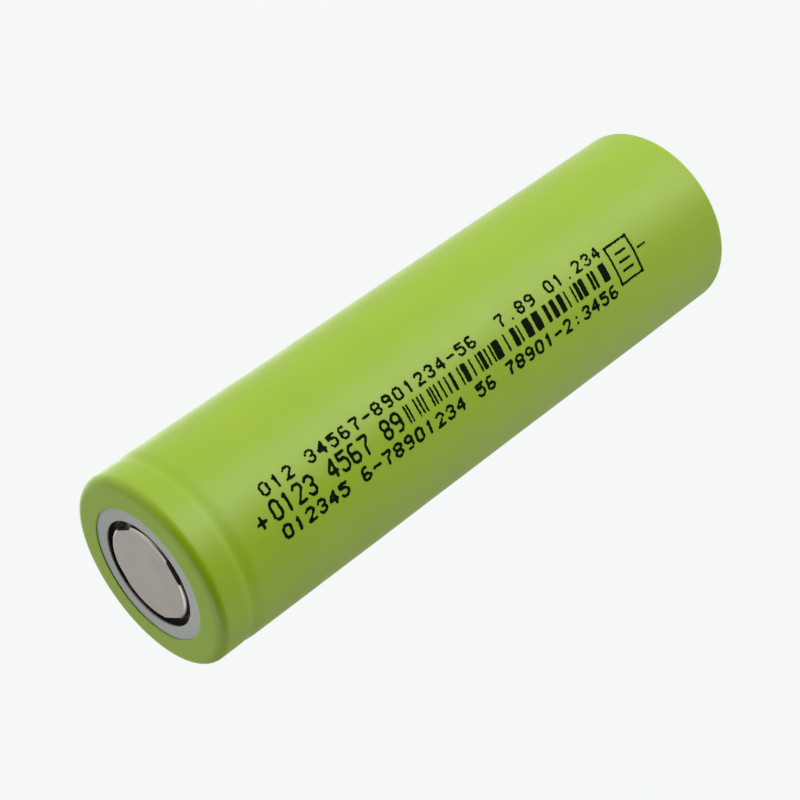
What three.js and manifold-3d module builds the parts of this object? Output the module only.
// A rechargeable cylindrical lithium-ion cell, 18.5 mm across and 65.4 mm long, as the pieces it is
// assembled from: a steel can with a beaded and crimped neck, the wound electrodes and their tabs inside it,
// the vented cap assembly clamped in its gasket, an insulating washer on the crimp and a shrunk sleeve over
// it all.
//
// Millimetres. The origin is the centre of the negative end's lowest plane, and +Z runs along the cell's axis
// to the positive terminal.
import * as THREE from "three";
import { mergeVertices } from "three/addons/utils/BufferGeometryUtils.js";
import Module from "manifold-3d";

// Overall sizes, over the sleeve
const CELL_LENGTH = 65.4;
const CELL_RADIUS = 9.25;

// Clearances
const FIT_GAP = 0.02; // between pieces that rest on, or fit in, each other
const SLOT_GAP = 0.3; // around a tab where it passes through a disc

// Sleeve
const SLEEVE_WALL = 0.1;
const SLEEVE_POSITIVE_HEM = 2.8; // how far the hem turned in over each end reaches
const SLEEVE_NEGATIVE_HEM = 2.35;
const SLEEVE_SAG = 0.07; // how far the sleeve dips where it spans the can's groove

// Insulating washer on the crimped rim
const WASHER_THICKNESS = 0.15;
const WASHER_MOAT = 0.57; // between the cap's plateau and the washer's hole
const WASHER_SETBACK = 0.23; // from the washer's rim to where the crimped rim starts to round off

// Can
const CAN_WALL = 0.22;
const CAN_FLOOR = 0.3;
const FOOT_INNER_RADIUS = 0.12; // inside the foot of the wall
const SHOULDER_INNER_RADIUS = 0.55; // inside the neck, where it turns in over the gasket
const CAN_NECK_INSET = 0.05; // how much slimmer the crimped neck is than the body
const CRIMP_WIDTH = 2.78; // from the neck's outside to the crimped lip's edge
const GROOVE_RADIUS = 0.45; // half the width of the beaded groove
const GROOVE_DEPTH = 1.3;
const GROOVE_MOUTH_INNER_RADIUS = 0.16; // inside each edge of the groove's mouth
const CONTACT_RADIUS = 5; // the patch of the bare bottom that a holder's contact presses on

// Gasket
const GASKET_WALL = 0.6;
const GASKET_FLOOR = 0.83;
const GASKET_LIP = 0.55;
const GASKET_SHELF = 2.32; // how far the gasket's floor reaches in under the stack that it holds
const GASKET_SHOW = 0.2; // how far the gasket's lip shows past the crimped lip

// Positive cap
const CAP_SHEET = 0.32;
const CAP_RISE = 1; // from the flange's top to the plateau's top
const PLATEAU_RADIUS = 4.6;
const PLATEAU_ROUNDING = 0.3;
const SKIRT_SPLAY = 0.2; // how much wider the skirt is at the flange than at the plateau
const VENT_COUNT = 4;
const VENT_WIDTH = 2.3;
const VENT_BITE = 0.34; // how far a vent's straight edge cuts into the plateau
const VENT_FIRST_ANGLE = -15; // degrees from +X
const VENT_SILL = 0.1; // how high above the flange a vent starts

// Current-limiting ring
const PTC_THICKNESS = 0.4;
const PTC_WIDTH = 2.62;

// Rupture disc
const DISC_SHEET = 0.4;
const DISC_DISH_CLEARANCE = 0.33; // between the dish and the holder's wall
const DISC_DISH_DEPTH = 0.7;
const DISC_DIMPLE_RADIUS = 2;
const DISC_DIMPLE_DEPTH = 0.4;
const DISC_SLOPE_RUN = 0.6; // how far each sloping wall of the dish and the dimple runs inward
const SCORE_WIDTH = 0.3;
const SCORE_DEPTH = 0.2;

// Interrupter's holder and plate
const HOLDER_WALL = 0.35;
const HOLDER_SEAT = 0.2;
const HOLDER_SEAT_WIDTH = 0.73;
const PLATE_RIM = 0.4;
const PLATE_BOSS_GAP = 0.15; // between the plate's boss and the seat's hole
const PLATE_HOLE_COUNT = 6;
const PLATE_HOLE_RADIUS = 0.7;
const PLATE_EDGE = 0.65; // from each hole to the edge of the plate's boss

// Insulating discs above and below the roll
const UPPER_INSULATOR_THICKNESS = 0.3;
const LOWER_INSULATOR_THICKNESS = 0.2;
const INSULATOR_CLEARANCE = 0.3; // between a disc's edge and the can's wall
const INSULATOR_SEAT = 0.2; // how far each disc's hole stays inside the centre pin's bore

// Wound roll. The real roll has about three times as many turns of sheets a third as thick.
const CORE_RADIUS = 2;
const ROLL_CLEARANCE = 0.12; // between the roll and the can's wall
const SEPARATOR_THICKNESS = 0.12;
const ANODE_THICKNESS = 0.42;
const CATHODE_THICKNESS = 0.46;
const ANODE_INSET = 0.5; // how much shorter than the separators the anode is at each end
const CATHODE_INSET = 1;
const ROLL_TAPE_THICKNESS = 0.08;
const STATIONS_PER_TURN = 24;
const ANODE_START = 6; // stations of bare separator before the anode starts
const CATHODE_START = 12;
const ANODE_EXTRA = 3; // stations that each sheet goes on after the cathode's end
const SEPARATOR_EXTRA = 16;
const TAPE_LAP = 2; // stations of the separators' end that the closing tape covers

// Tabs and their tapes
const TAB_THICKNESS = 0.15;
const TAB_STATIONS = 2; // a tab's width, in stations of the roll
const TAB_TAPE_THICKNESS = 0.06;
const TAB_SHORTFALL = 18; // from a tab's end to the far edge of its sheet
const TAB_REACH = 1.5; // how far each tab's flat leg runs past the axis
const TAPE_OVERHANG = 2; // how far the tab's tape runs past the sheet's edge

// Centre pin
const PIN_GAP = 0.3; // between the pin and the roll's core
const PIN_WALL = 0.3;
const PIN_SLIT = 0.6;
const PIN_SHORTFALL = 1.5; // from the pin's top to the roll's top

// Facets
const SEGMENTS = 36;
const CORNER_STEPS = 3;
const SMALL_CORNER_STEPS = 2;
const PIN_STEPS = 16;
const PLATE_HOLE_STEPS = 12;
const CUT_MARGIN = 1; // how far a cutting shape runs past what it cuts through

// Heights, from the bottom up and from the top down
const canBottom = SLEEVE_WALL + FIT_GAP;
const floorTop = canBottom + CAN_FLOOR;
const anodeLegBottom = floorTop + FIT_GAP;
const anodeLegTop = anodeLegBottom + TAB_THICKNESS;
const lowerInsulatorBottom = anodeLegTop + FIT_GAP;
const lowerInsulatorTop = lowerInsulatorBottom + LOWER_INSULATOR_THICKNESS;
const rollBottom = lowerInsulatorTop + FIT_GAP;

const washerTop = CELL_LENGTH - SLEEVE_WALL - FIT_GAP;
const crimpTop = washerTop - WASHER_THICKNESS - FIT_GAP;
const gasketTop = crimpTop - CAN_WALL - FIT_GAP;
const flangeTop = gasketTop - GASKET_LIP - FIT_GAP;
const flangeBottom = flangeTop - CAP_SHEET;
const plateauTop = flangeTop + CAP_RISE;
const ptcTop = flangeBottom - FIT_GAP;
const discTop = ptcTop - PTC_THICKNESS - FIT_GAP;
const discRimBottom = discTop - DISC_SHEET;
const gasketFloorTop = discRimBottom - FIT_GAP;
const gasketBottom = gasketFloorTop - GASKET_FLOOR;
const grooveHeight = gasketBottom - FIT_GAP - CAN_WALL - GROOVE_RADIUS; // the middle of the groove
const beadBottom = grooveHeight - GROOVE_RADIUS - CAN_WALL;
const dimpleBottom = discRimBottom - DISC_DISH_DEPTH - DISC_DIMPLE_DEPTH;
const plateTop = dimpleBottom - FIT_GAP;
const plateRimBottom = plateTop - PLATE_RIM;
const holderTop = gasketFloorTop;
const holderBottom = plateRimBottom - FIT_GAP - HOLDER_SEAT;
const cathodeLegTop = holderBottom - FIT_GAP;
const cathodeLegBottom = cathodeLegTop - TAB_THICKNESS;
const upperInsulatorTop = Math.min(beadBottom, cathodeLegBottom) - FIT_GAP;
const upperInsulatorBottom = upperInsulatorTop - UPPER_INSULATOR_THICKNESS;
const rollTop = upperInsulatorBottom - FIT_GAP;

// Radii, from the outside in
const canRadius = CELL_RADIUS - SLEEVE_WALL - FIT_GAP;
const canBore = canRadius - CAN_WALL;
const footRadius = FOOT_INNER_RADIUS + CAN_WALL;
const shoulderRadius = SHOULDER_INNER_RADIUS + CAN_WALL;
const mouthRadius = GROOVE_MOUTH_INNER_RADIUS + CAN_WALL;
const neckRadius = canRadius - CAN_NECK_INSET;
const neckBore = neckRadius - CAN_WALL;
const crimpHoleRadius = neckRadius - CRIMP_WIDTH;
const washerHoleRadius = PLATEAU_RADIUS + WASHER_MOAT;
const washerRadius = neckRadius - shoulderRadius - WASHER_SETBACK;
const grooveBottomRadius = canRadius - GROOVE_DEPTH;
const gasketRadius = neckBore - FIT_GAP;
const channelRadius = gasketRadius - GASKET_WALL;
const stackRadius = channelRadius - FIT_GAP; // of the cap's flange, the ring and the disc that it rests on
const shelfHoleRadius = stackRadius - GASKET_SHELF;
const holderRadius = shelfHoleRadius - FIT_GAP;
const holderBore = holderRadius - HOLDER_WALL;
const seatHoleRadius = holderBore - HOLDER_SEAT_WIDTH;
const plateRadius = holderBore - FIT_GAP;
const dishRadius = holderBore - DISC_DISH_CLEARANCE;
const bossRadius = seatHoleRadius - PLATE_BOSS_GAP;
const pinRadius = CORE_RADIUS - PIN_GAP;
const insulatorHoleRadius = pinRadius - PIN_WALL - INSULATOR_SEAT;
const insulatorRadius = canBore - INSULATOR_CLEARANCE;
const rollRadius = canBore - ROLL_CLEARANCE;

const wasm = await Module();
wasm.setup();

const degrees = (angle) => (angle * Math.PI) / 180;

// Points of a round corner, in a profile's own plane. Angles are in degrees.
function arc(x, y, radius, from, to, steps = CORNER_STEPS) {
  return Array.from({ length: steps + 1 }, (_, i) => {
    const angle = degrees(from + ((to - from) * i) / steps);
    return [x + radius * Math.cos(angle), y + radius * Math.sin(angle)];
  });
}

// A body of revolution about Z. The profile's points are [radius, height], anticlockwise round the material.
// It closes on itself unless it starts and ends on the axis.
function turned(profile) {
  const points = profile.map(([radius, height]) => new THREE.Vector2(radius, height));
  const onAxis = points[0].x === 0 && points[points.length - 1].x === 0;
  if (!onAxis) points.push(points[0].clone());
  return new THREE.LatheGeometry(points, SEGMENTS).rotateX(Math.PI / 2);
}

// A flat ring or a disc with a round hole.
function ring(radius, holeRadius, bottom, top) {
  return turned([
    [holeRadius, bottom],
    [radius, bottom],
    [radius, top],
    [holeRadius, top],
  ]);
}

// A flat outline in X and Y, raised from one height to another.
function raised(outline, bottom, top) {
  const shape = new THREE.Shape(outline.map(([x, y]) => new THREE.Vector2(x, y)));
  const options = { depth: top - bottom, bevelEnabled: false };
  return new THREE.ExtrudeGeometry(shape, options).translate(0, 0, bottom);
}

// A rectangle from one distance to another along a direction in X and Y.
function bar(from, to, width, angle) {
  const [cosine, sine] = [Math.cos(angle), Math.sin(angle)];
  const corners = [
    [from, -width / 2],
    [to, -width / 2],
    [to, width / 2],
    [from, width / 2],
  ];
  return corners.map(([along, across]) => [along * cosine - across * sine, along * sine + across * cosine]);
}

function solid(geometry) {
  const plain = geometry.clone();
  plain.deleteAttribute("normal");
  plain.deleteAttribute("uv");
  const merged = mergeVertices(plain, 1e-4);
  return new wasm.Manifold(
    new wasm.Mesh({
      numProp: 3,
      vertProperties: merged.attributes.position.array,
      triVerts: new Uint32Array(merged.index.array),
    }),
  );
}

function geometryOf(made) {
  const mesh = made.getMesh();
  return new THREE.BufferGeometry()
    .setAttribute("position", new THREE.BufferAttribute(mesh.vertProperties, 3))
    .setIndex(new THREE.BufferAttribute(mesh.triVerts, 1));
}

function cut(geometry, tools) {
  return geometryOf(tools.reduce((left, tool) => left.subtract(solid(tool)), solid(geometry)));
}

function joined(geometries) {
  return geometryOf(geometries.map(solid).reduce((whole, next) => whole.add(next)));
}

const cell = new THREE.Group();

function add(name, geometry, color, roughness, metalness) {
  const mesh = new THREE.Mesh(
    geometry,
    new THREE.MeshStandardMaterial({ color, roughness, metalness, flatShading: true }),
  );
  mesh.name = name;
  cell.add(mesh);
}

// The shrunk plastic sleeve: a thin tube with a hem turned in over each end, and a slight dip where it spans
// the can's groove.
function sleeve() {
  const foot = footRadius + FIT_GAP + SLEEVE_WALL;
  const shoulder = shoulderRadius + FIT_GAP + SLEEVE_WALL;
  const neckOuter = CELL_RADIUS - CAN_NECK_INSET;
  const mouth = GROOVE_RADIUS + mouthRadius;
  const side = (inset) => [
    ...arc(CELL_RADIUS - foot, foot, foot - inset, -90, 0),
    [CELL_RADIUS - inset, grooveHeight - mouth],
    [CELL_RADIUS - SLEEVE_SAG - inset, grooveHeight - GROOVE_RADIUS],
    [neckOuter - SLEEVE_SAG - inset, grooveHeight + GROOVE_RADIUS],
    [neckOuter - inset, grooveHeight + mouth],
    ...arc(neckOuter - shoulder, CELL_LENGTH - shoulder, shoulder - inset, 0, 90),
  ];
  return turned([
    [CELL_RADIUS - SLEEVE_NEGATIVE_HEM, 0],
    ...side(0),
    [CELL_RADIUS - SLEEVE_POSITIVE_HEM, CELL_LENGTH],
    [CELL_RADIUS - SLEEVE_POSITIVE_HEM, CELL_LENGTH - SLEEVE_WALL],
    ...side(SLEEVE_WALL).reverse(),
    [CELL_RADIUS - SLEEVE_NEGATIVE_HEM, SLEEVE_WALL],
  ]);
}

function insulatingWasher() {
  return ring(washerRadius, washerHoleRadius, washerTop - WASHER_THICKNESS, washerTop);
}

// The drawn steel can. Its outside runs up the wall, round the groove and over the shoulder to the crimped
// lip, and its inside comes back down one wall thickness away.
function can() {
  const grooveCentre = grooveBottomRadius + GROOVE_RADIUS;
  const mouthHeight = GROOVE_RADIUS + mouthRadius;
  const neck = (inset) => {
    const mouth = mouthRadius - inset;
    return [
      ...arc(canRadius - mouthRadius, grooveHeight - mouthHeight, mouth, 0, 90, SMALL_CORNER_STEPS),
      ...arc(grooveCentre, grooveHeight, GROOVE_RADIUS + inset, 270, 90, 2 * SMALL_CORNER_STEPS),
      ...arc(neckRadius - mouthRadius, grooveHeight + mouthHeight, mouth, 270, 360, SMALL_CORNER_STEPS),
      ...arc(neckRadius - shoulderRadius, crimpTop - shoulderRadius, shoulderRadius - inset, 0, 90),
    ];
  };
  const innerFoot = [canBore - FOOT_INNER_RADIUS, floorTop + FOOT_INNER_RADIUS];
  return turned([
    [0, canBottom],
    [CONTACT_RADIUS, canBottom],
    ...arc(canRadius - footRadius, canBottom + footRadius, footRadius, -90, 0),
    ...neck(0),
    [crimpHoleRadius, crimpTop],
    [crimpHoleRadius, crimpTop - CAN_WALL],
    ...neck(CAN_WALL).reverse(),
    ...arc(...innerFoot, FOOT_INNER_RADIUS, 0, -90, SMALL_CORNER_STEPS),
    [0, floorTop],
  ]);
}

// The gasket is a channel that opens inward, and holds the rims of the disc, the ring and the cap.
function crimpGasket() {
  const upper = SHOULDER_INNER_RADIUS - FIT_GAP;
  const lower = mouthRadius;
  const lipHoleRadius = crimpHoleRadius - GASKET_SHOW;
  return turned([
    [shelfHoleRadius, gasketBottom],
    ...arc(gasketRadius - lower, gasketBottom + lower, lower, -90, 0, SMALL_CORNER_STEPS),
    ...arc(gasketRadius - upper, gasketTop - upper, upper, 0, 90),
    [lipHoleRadius, gasketTop],
    [lipHoleRadius, gasketTop - GASKET_LIP],
    [channelRadius, gasketTop - GASKET_LIP],
    [channelRadius, gasketFloorTop],
    [shelfHoleRadius, gasketFloorTop],
  ]);
}

// The pressed cap: a round plateau on a skirt, with a vent slot through the skirt at each quarter.
function positiveCap() {
  const skirtFoot = PLATEAU_RADIUS + SKIRT_SPLAY;
  const cap = turned([
    [0, plateauTop - CAP_SHEET],
    [PLATEAU_RADIUS - CAP_SHEET, plateauTop - CAP_SHEET],
    [skirtFoot - CAP_SHEET, flangeBottom],
    [stackRadius, flangeBottom],
    [stackRadius, flangeTop],
    [skirtFoot, flangeTop],
    ...arc(PLATEAU_RADIUS - PLATEAU_ROUNDING, plateauTop - PLATEAU_ROUNDING, PLATEAU_ROUNDING, 0, 90,
      SMALL_CORNER_STEPS),
    [0, plateauTop],
  ]);
  const vents = Array.from({ length: VENT_COUNT }, (_, i) => {
    const angle = degrees(VENT_FIRST_ANGLE + (360 * i) / VENT_COUNT);
    const outline = bar(PLATEAU_RADIUS - VENT_BITE, stackRadius, VENT_WIDTH, angle);
    return raised(outline, flangeTop + VENT_SILL, plateauTop + CUT_MARGIN);
  });
  return cut(cap, vents);
}

function ptcRing() {
  return ring(stackRadius, stackRadius - PTC_WIDTH, ptcTop - PTC_THICKNESS, ptcTop);
}

// The rupture disc: a flat rim, a dish with a scored ring, and a dimple that touches the plate below it.
function ventDisc() {
  const dishTop = discTop - DISC_DISH_DEPTH;
  const dimpleTop = dishTop - DISC_DIMPLE_DEPTH;
  const dishFloorRadius = dishRadius - DISC_SLOPE_RUN;
  const scoreRadius = (dishFloorRadius + DISC_DIMPLE_RADIUS) / 2;
  const halfScore = SCORE_WIDTH / 2;
  return turned([
    [0, dimpleBottom],
    [DISC_DIMPLE_RADIUS - DISC_SLOPE_RUN, dimpleBottom],
    [DISC_DIMPLE_RADIUS, dishTop - DISC_SHEET],
    [dishFloorRadius, dishTop - DISC_SHEET],
    [dishRadius, discRimBottom],
    [stackRadius, discRimBottom],
    [stackRadius, discTop],
    [dishRadius, discTop],
    [dishFloorRadius, dishTop],
    [scoreRadius + halfScore, dishTop],
    [scoreRadius, dishTop - SCORE_DEPTH],
    [scoreRadius - halfScore, dishTop],
    [DISC_DIMPLE_RADIUS, dishTop],
    [DISC_DIMPLE_RADIUS - DISC_SLOPE_RUN, dimpleTop],
    [0, dimpleTop],
  ]);
}

// The interrupter's insulating holder: a short wall with a seat for the plate.
function interrupterHolder() {
  return turned([
    [seatHoleRadius, holderBottom],
    [holderRadius, holderBottom],
    [holderRadius, holderTop],
    [holderBore, holderTop],
    [holderBore, holderBottom + HOLDER_SEAT],
    [seatHoleRadius, holderBottom + HOLDER_SEAT],
  ]);
}

// The interrupter's plate: a rim on the seat, and a boss through it that the cathode's tab is welded to.
function interrupterPlate() {
  const holeCircle = bossRadius - PLATE_EDGE - PLATE_HOLE_RADIUS;
  const plate = turned([
    [0, holderBottom],
    [bossRadius, holderBottom],
    [bossRadius, plateRimBottom],
    [plateRadius, plateRimBottom],
    [plateRadius, plateTop],
    [0, plateTop],
  ]);
  const holes = Array.from({ length: PLATE_HOLE_COUNT }, (_, i) => {
    const angle = (2 * Math.PI * i) / PLATE_HOLE_COUNT;
    const centre = [holeCircle * Math.cos(angle), holeCircle * Math.sin(angle)];
    const outline = arc(...centre, PLATE_HOLE_RADIUS, 0, 360, PLATE_HOLE_STEPS).slice(1);
    return raised(outline, holderBottom - CUT_MARGIN, plateTop + CUT_MARGIN);
  });
  return cut(plate, holes);
}

// Each wound sheet, in the order they lie from the inside of a turn to its outside, with the first and last
// station that it covers and the heights of its two edges. The roll's end is the station where its cathode
// stops.
function woundSheets(end) {
  const cathodeTabAt = Math.round((CATHODE_START + end) / 2);
  const anodeEnd = end + ANODE_EXTRA;
  const separatorEnd = end + SEPARATOR_EXTRA;
  const fullHeight = { low: rollBottom, high: rollTop };
  const separator = { thickness: SEPARATOR_THICKNESS, from: 0, to: separatorEnd, ...fullHeight };
  const anode = { low: rollBottom + ANODE_INSET, high: rollTop - ANODE_INSET };
  const cathode = { low: rollBottom + CATHODE_INSET, high: rollTop - CATHODE_INSET };
  const anodeTab = { from: anodeEnd - 1 - TAB_STATIONS, to: anodeEnd - 1 };
  const cathodeTab = { from: cathodeTabAt, to: cathodeTabAt + TAB_STATIONS };
  const taped = (tab) => ({ thickness: TAB_TAPE_THICKNESS, from: tab.from - 1, to: tab.to + 1 });
  return [
    { name: "separator_inner", ...separator },
    { name: "anode_sheet", thickness: ANODE_THICKNESS, from: ANODE_START, to: anodeEnd, ...anode },
    {
      name: "anode_tab",
      thickness: TAB_THICKNESS,
      ...anodeTab,
      low: anodeLegBottom,
      high: anode.high - TAB_SHORTFALL,
    },
    {
      name: "anode_tab_tape",
      ...taped(anodeTab),
      low: anode.low - Math.min(TAPE_OVERHANG, ANODE_INSET),
      high: anode.high - TAB_SHORTFALL + TAPE_OVERHANG,
    },
    { name: "separator_outer", ...separator },
    { name: "cathode_sheet", thickness: CATHODE_THICKNESS, from: CATHODE_START, to: end, ...cathode },
    {
      name: "cathode_tab",
      thickness: TAB_THICKNESS,
      ...cathodeTab,
      low: cathode.low + TAB_SHORTFALL,
      high: cathodeLegTop,
    },
    {
      name: "cathode_tab_tape",
      ...taped(cathodeTab),
      low: cathode.low + TAB_SHORTFALL - TAPE_OVERHANG,
      high: cathode.high + Math.min(TAPE_OVERHANG, CATHODE_INSET),
    },
    {
      name: "roll_tape",
      thickness: ROLL_TAPE_THICKNESS,
      from: separatorEnd - TAPE_LAP,
      to: separatorEnd - TAPE_LAP + STATIONS_PER_TURN,
      ...fullHeight,
    },
  ];
}

// Lays the sheets one on another, station by station, and gives each sheet its outline and the roll its
// radius.
function wind(end) {
  const surface = Array(STATIONS_PER_TURN).fill(CORE_RADIUS); // how far the roll reaches at each angle
  const sheets = woundSheets(end).map((sheet) => ({ ...sheet, inside: [], outside: [] }));
  const last = Math.max(...sheets.map((sheet) => sheet.to));
  for (let station = 0; station <= last; station++) {
    const place = station % STATIONS_PER_TURN;
    const angle = (2 * Math.PI * place) / STATIONS_PER_TURN;
    const at = (radius) => [radius * Math.cos(angle), radius * Math.sin(angle)];
    for (const sheet of sheets) {
      if (station < sheet.from || station > sheet.to) continue;
      const inner = surface[place] + FIT_GAP;
      surface[place] = inner + sheet.thickness;
      sheet.inside.push(at(inner));
      sheet.outside.push(at(surface[place]));
    }
  }
  return { sheets, radius: Math.max(...surface) };
}

// Winds the roll until one more station would no longer go into the can.
function woundRoll() {
  let end = CATHODE_START + 2 * STATIONS_PER_TURN;
  while (wind(end + 1).radius <= rollRadius) end += 1;
  return wind(end).sheets;
}

// The flat leg of a tab runs from the tab's outer face inward, past the axis.
function tabLeg(tab, bottom, top) {
  const first = tab.outside[0];
  const last = tab.outside[tab.outside.length - 1];
  const middle = [(first[0] + last[0]) / 2, (first[1] + last[1]) / 2];
  const distance = Math.hypot(...middle);
  const inward = ([x, y]) => [
    x - (middle[0] / distance) * (distance + TAB_REACH),
    y - (middle[1] / distance) * (distance + TAB_REACH),
  ];
  return raised([...tab.outside, inward(last), inward(first)], bottom, top);
}

// A cutting shape for the slot that a tab's upright leg passes through in an insulating disc. It runs out to
// a given radius.
function tabSlot(tab, outer, bottom, top) {
  const first = tab.inside[0];
  const last = tab.inside[tab.inside.length - 1];
  const width = Math.hypot(first[0] - last[0], first[1] - last[1]) + 2 * SLOT_GAP;
  const middle = [(first[0] + last[0]) / 2, (first[1] + last[1]) / 2];
  const angle = Math.atan2(middle[1], middle[0]);
  const outline = bar(Math.hypot(...middle) - SLOT_GAP, outer, width, angle);
  return raised(outline, bottom - CUT_MARGIN, top + CUT_MARGIN);
}

// The centre pin: a rolled steel tube with a slit along it.
function centrePin() {
  const openingAngle = (Math.asin(PIN_SLIT / 2 / pinRadius) * 180) / Math.PI;
  const outline = [
    ...arc(0, 0, pinRadius, openingAngle, 360 - openingAngle, PIN_STEPS),
    ...arc(0, 0, pinRadius - PIN_WALL, 360 - openingAngle, openingAngle, PIN_STEPS),
  ];
  return raised(outline, rollBottom, rollTop - PIN_SHORTFALL);
}

const sheets = woundRoll();
const sheetNamed = (name) => sheets.find((sheet) => sheet.name === name);
const anodeTab = sheetNamed("anode_tab");
const cathodeTab = sheetNamed("cathode_tab");
const outerRadius = (tab) => Math.max(...tab.outside.map((point) => Math.hypot(...point)));

const SHEET_COLORS = {
  separator_inner: 0xe9ebe8,
  separator_outer: 0xe9ebe8,
  anode_sheet: 0x2b2b2d,
  cathode_sheet: 0x1d1f22,
  anode_tab: 0xb4b0a6,
  cathode_tab: 0xc9cbce,
  anode_tab_tape: 0xb5762a,
  cathode_tab_tape: 0xb5762a,
  roll_tape: 0x3f7f8c,
};

add("sleeve", sleeve(), 0x9fc641, 0.38, 0);
add("insulating_washer", insulatingWasher(), 0xc6c9cf, 0.55, 0);
add("can", can(), 0xb9b7b2, 0.3, 1);
add("crimp_gasket", crimpGasket(), 0x2f3331, 0.5, 0);
add("positive_cap", positiveCap(), 0xb8b1a8, 0.25, 1);
add("ptc_ring", ptcRing(), 0x3b3b3d, 0.6, 0);
add("vent_disc", ventDisc(), 0xc9cbce, 0.35, 1);
add("interrupter_holder", interrupterHolder(), 0xe2ded2, 0.5, 0);
add("interrupter_plate", interrupterPlate(), 0xc4c6c9, 0.35, 1);

// An insulating disc with a central hole and a slot for a tab.
function insulator(bottom, top, tab, slotReach) {
  return cut(ring(insulatorRadius, insulatorHoleRadius, bottom, top), [tabSlot(tab, slotReach, bottom, top)]);
}

const upperSlotReach = outerRadius(cathodeTab) + SLOT_GAP;
const upperInsulator = insulator(upperInsulatorBottom, upperInsulatorTop, cathodeTab, upperSlotReach);
add("upper_insulator", upperInsulator, 0xd9d4c4, 0.7, 0);
const lowerInsulator = insulator(lowerInsulatorBottom, lowerInsulatorTop, anodeTab, canBore);
add("lower_insulator", lowerInsulator, 0xd9d4c4, 0.7, 0);

const legs = {
  anode_tab: tabLeg(anodeTab, anodeLegBottom, anodeLegTop),
  cathode_tab: tabLeg(cathodeTab, cathodeLegBottom, cathodeLegTop),
};
for (const sheet of sheets) {
  const upright = raised([...sheet.inside, ...sheet.outside.toReversed()], sheet.low, sheet.high);
  const leg = legs[sheet.name];
  const [geometry, roughness, metalness] = leg ? [joined([upright, leg]), 0.35, 1] : [upright, 0.75, 0];
  add(sheet.name, geometry, SHEET_COLORS[sheet.name], roughness, metalness);
}

add("center_pin", centrePin(), 0xa9a9ab, 0.4, 1);

export default cell;
